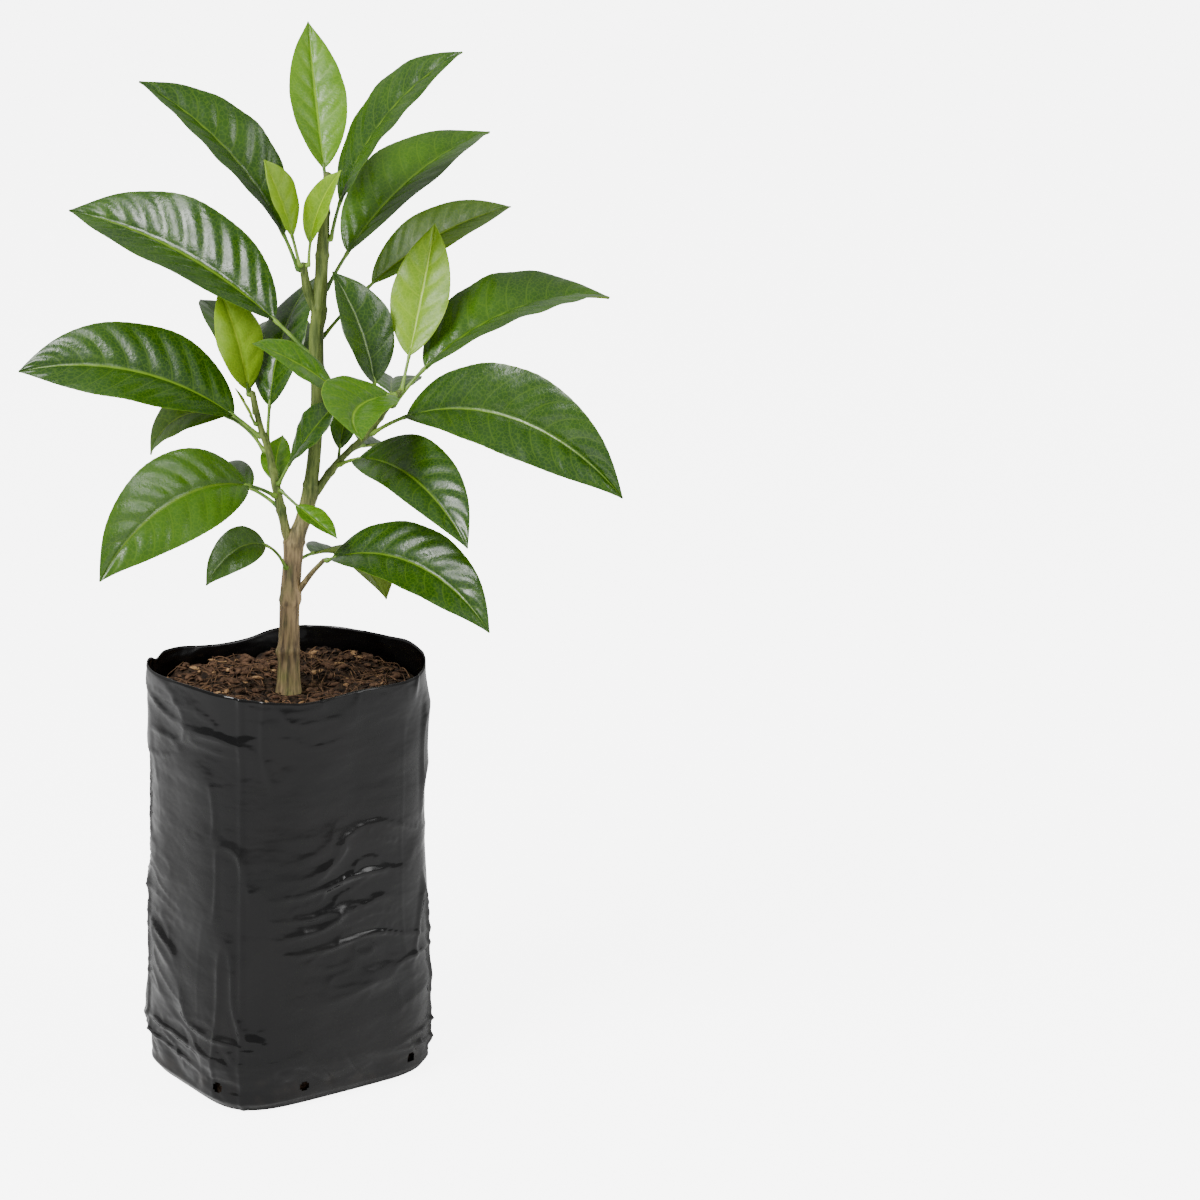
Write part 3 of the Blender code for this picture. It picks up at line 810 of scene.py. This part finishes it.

# %% [markdown]
# ## Leaves
#
# A sweet orange leaf is a folded, arching blade. Its midrib is sunk in the glossy upper side and stands out
# below, and the flesh swells between the side veins that curve towards the tip, with more pairs on a long
# blade. Scattered copies of one leaf would look alike, so each leaf is worked out from its own row: where its
# petiole leaves the stem, how it heads and droops, and how its blade folds, in millimetres and degrees. The
# rows repeat the frame's blades. Four leaves at the back were chosen. In the other rows the height
# and azimuth were chosen, and the rest was fitted by least squares to points read off a photograph, rounded,
# and changed a little in some.

# %% Leaf rows
Leaf = namedtuple("Leaf", "height azimuth rise droop sweep petiole length width roll twist fold")
LEAVES = {
    "trunk": (
        Leaf(222, 235, 60, 114, -8, 19, 41, 18, 55, 6, 21),
        Leaf(311, 156, 43, 38, -7, 20, 106, 50, 28, 4, 34),
        Leaf(318, 40, 41, 38, 3, 33, 86, 26, -31, -2, 34),
        Leaf(338, 40, 55, 45, 0, 18, 92, 41, -7, -3, 28),
        Leaf(359, 340, 80, 50, 0, 16, 83, 37, -37, 1, 18),
        Leaf(382, 100, 50, -6, -2, 6, 69, 27, -5, 2, 28),
        Leaf(223, 60, 8, 66, -12, 12, 66, 32, 6, 4, 24),
        Leaf(296, 108, 30, 58, 6, 18, 84, 32, 4, 6, 26),
    ),
    "left_bough": (
        Leaf(247, 128, 20, 70, 8, 18, 78, 36, 8, -4, 24),
        Leaf(252, 228, 31, 85, -8, 17, 90, 39, 49, 13, 21),
        Leaf(254, 315, -28, -6, 2, 10, 25, 13, -11, 3, 26),
        Leaf(255, 95, 39, 13, -22, 2, 28, 14, 7, 0, 24),
        Leaf(257, 305, 56, 6, 47, 11, 37, 22, -38, -16, 19),
        Leaf(273, 75, 86, 64, -18, 15, 66, 28, 20, 0, 10),
        Leaf(270, 158, 60, 135, -3, 22, 44, 23, 43, 2, 19),
        Leaf(276, 172, 42, 56, 6, 13, 93, 46, 30, 21, 24),
        Leaf(281, 215, 60, -1, -20, 2, 16, 6, 16, 0, 25),
        Leaf(285, 120, 72, 69, -5, 10, 58, 24, 0, -3, 27),
        Leaf(292.5, 175, 84, 19, -7, 2, 44, 24, 40, 8, 16),
    ),
    "right_bough": (
        Leaf(270, 68, 4, 56, -8, 18, 78, 36, -6, 4, 25),
        Leaf(266, 82, 49, 29, -7, 6, 31, 13, -11, 0, 25),
        Leaf(266, 300, 25, 71, 6, 15, 83, 36, -25, 5, 29),
        Leaf(280, 322, 35, 82, 10, 19, 109, 44, -39, -30, 33),
        Leaf(284, 203, 50, 30, 10, 23, 44, 22, 44, -18, 14),
        Leaf(289, 160, 86, 30, 4, 12, 49, 31, 26, 3, 26),
        Leaf(294, 90, 8, 23, -5, 9, 55, 27, -8, 0, 22),
        Leaf(292, 15, 54, 65, 13, 20, 92, 48, -11, 0, 25),
        Leaf(298.3, 62, 62, 2, 8, 15, 58, 26, -10, 4, 20),
        Leaf(297, 228, 4, 15, 60, 2, 70, 35, 21, -18, 30),
    ),
    "top_shoot": (
        Leaf(347, 172, 71, 45, -6, 15, 86, 39, 20, 8, 30),
        Leaf(349, 230, 72, 12, -10, 13, 36, 20, 70, 9, 24),
        Leaf(349, 330, 90, 40, 6, 9, 34, 14, -70, -4, 24),
    ),
    "low_twig": (Leaf(226.5, 322, 26, 76, 0, 2, 88, 35, -31, -12, 26),),
}
print("leaves", sum(len(leaves) for leaves in LEAVES.values()))

# %% The run of a leaf
PATH_STEPS = 48
LEAF_SEAT = 0.42 * MM
BLADE_THICKNESS = 0.9 * MM
BLADE_CAMBER = 0.12
BLADE_BROADEST, BLADE_FULLNESS = 0.86, 0.8
TIP_START, TIP_RUN, TIP_PINCH = 0.78, 0.22, 0.35


def blade_half_width(fraction, width):
    """Half the blade's width: broadest before the middle, with a drawn-out tip."""
    full = np.sin(math.pi * np.clip(fraction, 0, 1) ** BLADE_BROADEST).clip(0) ** BLADE_FULLNESS
    drawn_out = np.clip(fraction - TIP_START, 0, 1) / TIP_RUN
    return width / 2 * full * (1 - TIP_PINCH * drawn_out**2)


def leaf_foot(path, leaf):
    """Where a leaf's stalk starts, just off the face of its stem."""
    x, y, radius = (np.interp(leaf.height * MM, path[:, 2], path[:, i]) for i in (0, 1, 3))
    heading = math.radians(leaf.azimuth)
    reach = radius + LEAF_SEAT + BLADE_THICKNESS / 2 * abs(math.sin(math.radians(leaf.rise)))
    return np.array((x + reach * math.cos(heading), y + reach * math.sin(heading), leaf.height * MM))


def leaf_headings(leaf, fractions):
    """How the leaf rises and heads at each share of its run, in radians."""
    return np.radians(leaf.rise - leaf.droop * fractions), np.radians(leaf.azimuth + leaf.sweep * fractions)


def directions(rise, azimuth):
    """Unit vectors that rise and head as told."""
    return np.stack([np.cos(azimuth) * np.cos(rise), np.sin(azimuth) * np.cos(rise), np.sin(rise)], 1)


def leaf_frames(leaf, foot, distances):
    """Centreline points with the across and upward directions, along petiole and midrib."""
    total = (leaf.petiole + leaf.length) * MM
    middles = (np.arange(PATH_STEPS) + 0.5) / PATH_STEPS
    steps = directions(*leaf_headings(leaf, middles))
    walked = np.vstack([foot, foot + np.cumsum(steps * total / PATH_STEPS, 0)])
    marks = np.linspace(0, total, PATH_STEPS + 1)
    centres = np.stack([np.interp(distances, marks, walked[:, i]) for i in range(3)], 1)
    rise, azimuth = leaf_headings(leaf, distances / total)
    level = np.stack([np.sin(azimuth), -np.cos(azimuth), np.zeros_like(azimuth)], 1)
    upright = np.cross(level, directions(rise, azimuth))
    along = np.clip((distances / MM - leaf.petiole) / leaf.length, 0, 1)
    roll = np.radians(leaf.roll + leaf.twist * along)[:, None]
    across = level * np.cos(roll) + upright * np.sin(roll)
    upward = upright * np.cos(roll) - level * np.sin(roll)
    return centres, across, upward


longest = max((leaf for leaves in LEAVES.values() for leaf in leaves), key=lambda leaf: leaf.length)
half_width = blade_half_width(0.5, longest.width)
print("longest blade", longest.length, "mm, half width at its middle", half_width.round(1))

# %% Blade relief
SHELL = 0.32 * MM
LEAST_HALF_WIDTH = 0.35 * MM
LONG_BLADE, BROAD_BLADE = 45, 45
FINE_GRID, COARSE_GRID = (74, 15), (44, 10)
EDGE_CROWDING, ROW_CROWDING = 0.35, 0.97
FEWEST_PAIRS = 5
VEIN_SPACING = 9.5
VEIN_SWEEP, VEIN_BEND, VEIN_STAGGER = 0.17, 1.25, 0.42
SWELL, MIDRIB_SINK, RIPPLE, SWAY, RIB, RIB_WIDTH = 0.95, 0.4, 0.45, 0.7, 0.75, 0.7
EDGE_NICKS, NICK_DEPTH = 24, 0.004
leaf_chance = np.random.default_rng(77)


def vein_pairs(leaf):
    return max(FEWEST_PAIRS, round(leaf.length / VEIN_SPACING))


def blade_sheets(leaf, foot, tone):
    """The upper and under side of one blade, with its veins and its swelling between them."""
    rows, half_columns = FINE_GRID if leaf.length > LONG_BLADE else COARSE_GRID
    along = np.linspace(0, 1, rows) ** ROW_CROWDING
    centres, across, upward = leaf_frames(leaf, foot, (leaf.petiole + along * leaf.length) * MM)
    even = np.linspace(-1, 1, 2 * half_columns + 1)
    side = np.sin(even * math.pi / 2) * EDGE_CROWDING + (1 - EDGE_CROWDING) * even
    t, v = along[:, None], side[None, :]
    half = np.maximum(blade_half_width(along, leaf.width * MM), LEAST_HALF_WIDTH)[:, None]
    seed = leaf_chance.uniform(0, 6.28)
    margin = np.abs(v) ** 3
    half = half * (1 + NICK_DEPTH * margin * np.sin(2 * math.pi * t * EDGE_NICKS + seed))
    size = leaf.width / BROAD_BLADE
    bent = t - VEIN_SWEEP * np.abs(v) ** VEIN_BEND
    phase = bent * vein_pairs(leaf) + np.where(v < 0, VEIN_STAGGER, 0.0)
    swell = (0.5 - 0.5 * np.cos(2 * math.pi * phase)) ** 0.55
    body = np.sin(math.pi * np.clip(t, 0.02, 0.98)) ** 0.5 * ease(np.abs(v) / 0.2) * (1 - margin)
    relief = (SWELL * size * swell * body - MIDRIB_SINK * size * bump_at(v, 0.05)) * MM
    turns = 2 * math.pi * t * (3 + 2 * (seed > 3)) + seed + 1.4 * np.sign(v)
    ripple = RIPPLE * size * margin * np.sin(turns) * MM
    sway = SWAY * size * np.sin(2 * math.pi * t * 1.3 + seed) * np.abs(v) * v * MM
    lift = relief + ripple * np.sin(math.pi * t) + sway * np.sin(math.pi * t)
    fold = math.radians(leaf.fold)
    out = across[:, None] * (v * math.cos(fold) * half)[:, :, None]
    rise = (np.abs(v) * math.sin(fold) - BLADE_CAMBER * v * v) * half + lift
    middle = centres[:, None] + out + upward[:, None] * rise[:, :, None]
    shell = (SHELL / 2 * np.sqrt(1 - np.abs(v) ** 6) * np.ones_like(t))[:, :, None]
    rib = (RIB * size * bump_at(v * half / MM, RIB_WIDTH) * (1 - 0.8 * t) * MM)[:, :, None]
    top = middle + upward[:, None] * shell
    under = middle - upward[:, None] * (shell + rib)
    return [Sheet(top, False, False, 0, tone), Sheet(under, False, True, 1, tone)]


print("vein pairs on the longest blade", vein_pairs(longest))

# %% Leaf stalks
STALK_ROWS, STALK_SIDES = 24, 14
STALK_OVERLAP = 3
STALK_DROP = 0.5 * MM
STALK_RADIUS, STALK_TAPER = 0.82, 0.15
HEEL_SWELL, HEEL_SPREAD = 0.5, 0.14
JOINT_SWELL, JOINT_PLACE, JOINT_SPREAD = 0.22, 0.84, 0.05


def petiole_sheet(leaf, foot, stem_point, tone):
    """The leaf's stalk, from the middle of its stem to just past where the blade starts."""
    distances = np.linspace(0, (leaf.petiole + STALK_OVERLAP) * MM, STALK_ROWS - 2)
    centres, _, _ = leaf_frames(leaf, foot, distances)
    share = np.linspace(0, 1, STALK_ROWS)
    centres = np.vstack([stem_point, stem_point * 0.4 + foot * 0.6, centres])
    size = 0.75 + 0.35 * min(leaf.width / BROAD_BLADE, 1)
    heel = HEEL_SWELL * bump_at(share, HEEL_SPREAD)
    joint = JOINT_SWELL * bump_at(share - JOINT_PLACE, JOINT_SPREAD)
    radius = (STALK_RADIUS + heel + joint - STALK_TAPER * share) * size * MM
    return tube_sheet(np.column_stack([centres, radius]), STALK_SIDES, tone)


def stem_middle(path, leaf):
    """The middle of the stem a little below a leaf's foot."""
    height = leaf.height * MM - STALK_DROP
    x, y = (np.interp(height, path[:, 2], path[:, i]) for i in (0, 1))
    return np.array([x, y, height])


print("rows and sides of a stalk", STALK_ROWS, STALK_SIDES)

# %% [markdown]
# ## Leaf finishes
#
# The upper side has a waxy skin, so it takes sharp light over a dark green. Veins are paler than the flesh.
# They are drawn from the same formula as the relief, along the map that runs with the growth, so the pale
# lines lie in the hollows. The under side is matt and olive. Age gives each leaf its tint: dealing out a few
# plain tints leaf by leaf reads better than one green with noise.

# %% Leaf tints
Tint = namedtuple("Tint", "dark light vein under gloss")
TINTS = {
    "full": Tint((0.012, 0.05, 0.0004), (0.045, 0.125, 0.001), (0.14, 0.26, 0.01), (0.15, 0.24, 0.015), 0.22),
    "mid": Tint((0.045, 0.14, 0.0004), (0.10, 0.24, 0.001), (0.24, 0.42, 0.015), (0.2, 0.31, 0.015), 0.28),
    "olive": Tint((0.06, 0.15, 0.0004), (0.12, 0.235, 0.001), (0.26, 0.4, 0.015), (0.19, 0.29, 0.015), 0.32),
    "young": Tint((0.11, 0.24, 0.0004), (0.22, 0.4, 0.001), (0.42, 0.6, 0.03), (0.27, 0.41, 0.015), 0.36),
}


print("tints", list(TINTS))

# %% Leaf skin


def leaf_skin(name, tint, pairs, upper):
    """One side of a leaf with this many pairs of veins."""
    skin = Finish(name, Metallic=0.0, Specular_IOR_Level=0.5 if upper else 0.3)
    growth = skin.node("ShaderNodeUVMap", uv_map="growth")
    split = skin.node("ShaderNodeSeparateXYZ")
    skin.join(growth.outputs[0], split.inputs[0])
    along, place = split.outputs["X"], split.outputs["Y"]
    side = skin.math("MULTIPLY_ADD", place, 2.0, -1.0)
    reach = skin.math("ABSOLUTE", side)
    left = skin.math("MULTIPLY", skin.math("LESS_THAN", side, 0.0), VEIN_STAGGER)
    bent = skin.math("MULTIPLY", skin.math("POWER", reach, VEIN_BEND), VEIN_SWEEP)
    phase = skin.math("MULTIPLY_ADD", skin.math("SUBTRACT", along, bent), float(pairs), left)
    place_in_pair = skin.math("FRACT", skin.math("ADD", phase, 0.5))
    near = skin.math("ABSOLUTE", skin.math("SUBTRACT", place_in_pair, 0.5))
    thin = skin.ramp(near, 0.01, 0.06, 1.0, 0.0)
    thin = skin.math("MULTIPLY", thin, skin.ramp(reach, 0.55, 0.97, 1.0, 0.0))
    midrib = skin.ramp(reach, 0.008, 0.04, 0.85, 0.0)
    margin = skin.ramp(reach, 0.955, 0.995, 0.0, 0.7)
    net = skin.ramp(skin.cells(520), 0.0, 0.12, 0.22, 0.0)
    lines = skin.math("MAXIMUM", skin.math("MULTIPLY", thin, 0.26 if upper else 0.5), margin)
    lines = skin.math("MAXIMUM", lines, net)
    lines = skin.math("MAXIMUM", lines, midrib, clamp=True)
    low, high = (tint.dark, tint.light) if upper else (tint.under, tuple(1.25 * c for c in tint.under))
    tone = skin.node("ShaderNodeAttribute", attribute_name="tone").outputs["Fac"]
    clouds = skin.math("MULTIPLY_ADD", skin.noise(36, 3), 0.7, skin.math("MULTIPLY", tone, 0.35))
    flesh = skin.mix(skin.ramp(clouds, 0.3, 0.8), low, high)
    skin.colour(skin.mix(lines, flesh, tint.vein))
    gloss = tint.gloss if upper else 0.6
    skin.roughness(skin.ramp(skin.noise(120, 4), 0.3, 0.7, gloss, gloss + 0.16))
    skin.relief(skin.noise(640, 4), 0.0003, 0.5)
    return skin.material


def stalk_skin(name, dark, light):
    """The smooth green skin of a leaf's stalk."""
    skin = Finish(name, Metallic=0.0, Roughness=0.42, Specular_IOR_Level=0.45)
    skin.colour(skin.mix(skin.ramp(skin.noise(160, 3, (1, 1, 0.5)), 0.35, 0.65), dark, light))
    skin.relief(skin.noise(600, 3), 0.0002, 0.5)
    return skin.material


SKINS = {}


def skins_for(tint_name, pairs):
    """The pair of finishes for one tint and number of veins, made once."""
    if (tint_name, pairs) not in SKINS:
        tint = TINTS[tint_name]
        upper = leaf_skin(f"{tint_name}_leaf_upper_{pairs}", tint, pairs, True)
        under = leaf_skin(f"{tint_name}_leaf_under_{pairs}", tint, pairs, False)
        SKINS[tint_name, pairs] = [upper, under]
    return SKINS[tint_name, pairs]


stalk = stalk_skin("green_stalk", (0.06, 0.14, 0.012), (0.2, 0.34, 0.04))
print("stalk finish", stalk.name)

# %% Grow every leaf
SPECIAL_TINTS = {
    "mid": {"trunk": (6,), "left_bough": (3, 4), "right_bough": (5, 10)},
    "olive": {"trunk": (3,), "left_bough": (7,)},
    "young": {"left_bough": (11,), "right_bough": (9,), "top_shoot": (2, 3)},
}


def tint_of(stem, number):
    """The tint of one leaf: full green, unless it is listed above."""
    for tint, stems in SPECIAL_TINTS.items():
        if number in stems.get(stem, ()):
            return tint
    return "full"


for stem, leaves in LEAVES.items():
    sprays, stalks, names = {}, [], {}
    for number, leaf in enumerate(leaves, 1):
        tint = tint_of(stem, number)
        foot = leaf_foot(PATHS[stem], leaf)
        tone = leaf_chance.uniform()
        key = (tint, vein_pairs(leaf))
        sprays.setdefault(tint, []).append((key, blade_sheets(leaf, foot, tone)))
        names.setdefault(tint, []).append(f"{stem}_leaf_{number}")
        stalks.append(petiole_sheet(leaf, foot, stem_middle(PATHS[stem], leaf), tone))
    for tint, blades in sprays.items():
        keys = sorted({key for key, _ in blades})
        finishes = [skin for key in keys for skin in skins_for(*key)]
        sheets = []
        for key, pair in blades:
            sheets.extend(sheet._replace(finish=sheet.finish + 2 * keys.index(key)) for sheet in pair)
        spray = mesh_from_sheets(f"{stem}_{tint}_leaves", sheets, finishes)
        dress(spray, "young_leaf" if tint == "young" else "leaf", *names[tint])
    dress(mesh_from_sheets(f"{stem}_stalks", stalks, [stalk]), "green_bark")

# %% [markdown]
# ## Floor, light and camera
#
# The plant was photographed on a white table with soft light from every side and a little more from above
# left. A brighter world would wash out the plant, so the floor glows, to the camera alone, and gives the
# white ground. Two broad area lights give the long highlights on film and leaves. The camera looks down by
# fifteen degrees through a long lens.

# %% Floor
FLOOR_SIZE = 40.0
FLOOR_GLOW = 6.0
FLOOR_GAP = 0.0002
WHITE = (1, 1, 1, 1)
OFF_WHITE = (0.9, 0.9, 0.9, 1)
bpy.ops.mesh.primitive_plane_add(size=FLOOR_SIZE, location=(0, 0, -FLOOR_GAP))
floor = bpy.context.object
floor.name = "studio_floor"
white = Finish("studio_white", Metallic=0.0, Roughness=0.6, Specular_IOR_Level=0.2)
white.shader.inputs["Base Color"].default_value = OFF_WHITE
white.shader.inputs["Emission Color"].default_value = WHITE
seen = white.node("ShaderNodeLightPath").outputs["Is Camera Ray"]
white.join(white.math("MULTIPLY", seen, FLOOR_GLOW), white.shader.inputs["Emission Strength"])
floor.data.materials.append(white.material)
print("floor", FLOOR_SIZE, "m across")

# %% Lights
WORLD_STRENGTH = 0.55
KEY_WATTS, RIGHT_WATTS = 42, 11
world = bpy.data.worlds.new("studio")
bpy.context.scene.world = world
world.use_nodes = True
background = world.node_tree.nodes["Background"]
background.inputs["Color"].default_value = WHITE
background.inputs["Strength"].default_value = WORLD_STRENGTH


def area_light(name, place, aim, size, watts):
    """A soft oblong light, aimed at a place."""
    data = bpy.data.lights.new(name, "AREA")
    data.shape = "RECTANGLE"
    data.size, data.size_y = size
    data.energy = watts
    lamp = bpy.data.objects.new(name, data)
    lamp.location = place
    lamp.rotation_euler = (Vector(aim) - Vector(place)).to_track_quat("-Z", "Y").to_euler()
    bpy.context.scene.collection.objects.link(lamp)


area_light("key_light", (-0.9, -0.9, 1.5), (0, 0, 0.25), (0.7, 0.7), KEY_WATTS)
area_light("right_light", (1.3, -0.5, 0.9), (0, 0, 0.2), (0.4, 1.1), RIGHT_WATTS)
print("watts", KEY_WATTS, RIGHT_WATTS)

# %% Camera
LENS = 103.8
SENSOR = 36.0
CAMERA_PLACE = (0.0, -1.4035, 0.5831)
PITCH_DOWN = math.radians(15)
PLANT_OFFSET_PX = 310
FOCAL_PX = 3460
PAN_RIGHT = math.atan(PLANT_OFFSET_PX / FOCAL_PX)
camera_data = bpy.data.cameras.new("camera")
camera_data.lens = LENS
camera_data.sensor_width = SENSOR
camera = bpy.data.objects.new("camera", camera_data)
bpy.context.scene.collection.objects.link(camera)
forward = Vector((0, math.cos(PITCH_DOWN), -math.sin(PITCH_DOWN)))
sideways = Vector((1, 0, 0))
view = forward * math.cos(PAN_RIGHT) + sideways * math.sin(PAN_RIGHT)
right = sideways * math.cos(PAN_RIGHT) - forward * math.sin(PAN_RIGHT)
above = right.cross(view)
turn = Matrix((right, above, -view)).transposed().to_4x4()
camera.matrix_world = Matrix.Translation(CAMERA_PLACE) @ turn
bpy.context.scene.camera = camera
print("camera", CAMERA_PLACE)

# %% [markdown]
# ## Sizes
#
# Wrinkles and veins stand out by a millimetre or so, so the model's box stays close to the frame's.
